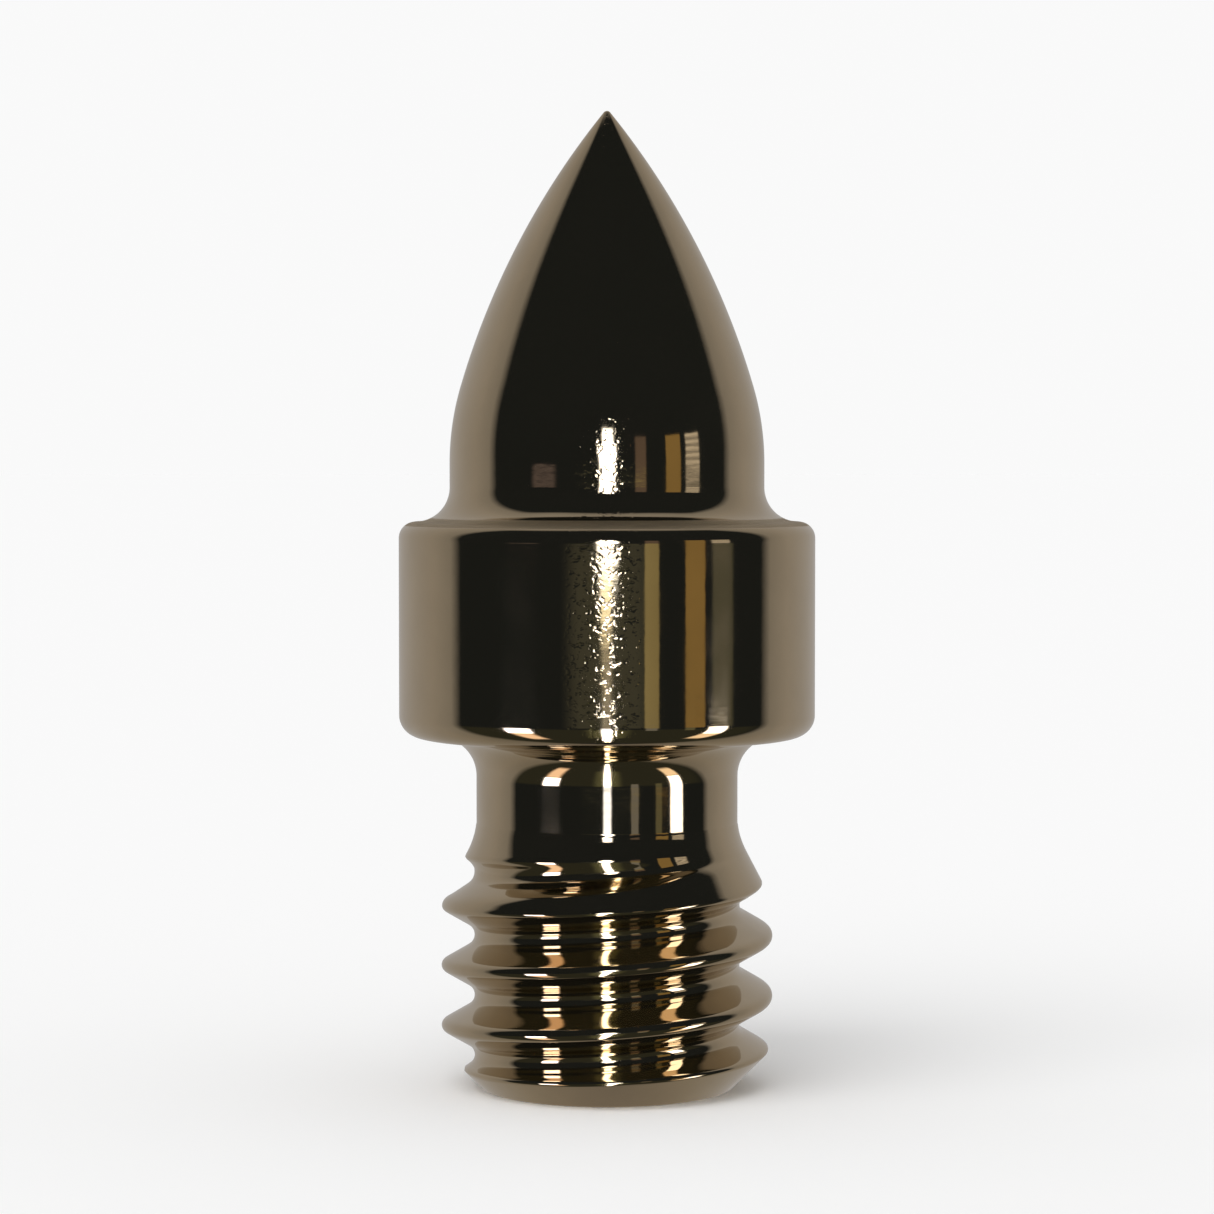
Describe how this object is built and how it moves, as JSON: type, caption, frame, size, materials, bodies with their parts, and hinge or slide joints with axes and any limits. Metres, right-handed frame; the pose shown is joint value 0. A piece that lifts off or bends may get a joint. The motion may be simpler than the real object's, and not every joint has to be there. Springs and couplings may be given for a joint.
{
  "type": "plumb bob point",
  "caption": "Plated steel screw-in point of a plumb bob: sharp ogive nose, round collar, undercut neck and a short right-hand threaded stud.",
  "frame": {"origin": "centre of the threaded stud's end face, on the turning axis", "axes": "+Z along the turning axis, from the stud's end face to the sharp tip; +X is where a thread crest is 3.573 mm above the end face"},
  "size_m": [0.0098, 0.0096, 0.0228],
  "materials": {
    "plated_steel": "polished"
  },
  "bodies": {
    "root": {"plumb_bob_point": "plated_steel"}
  },
  "joints": []
}
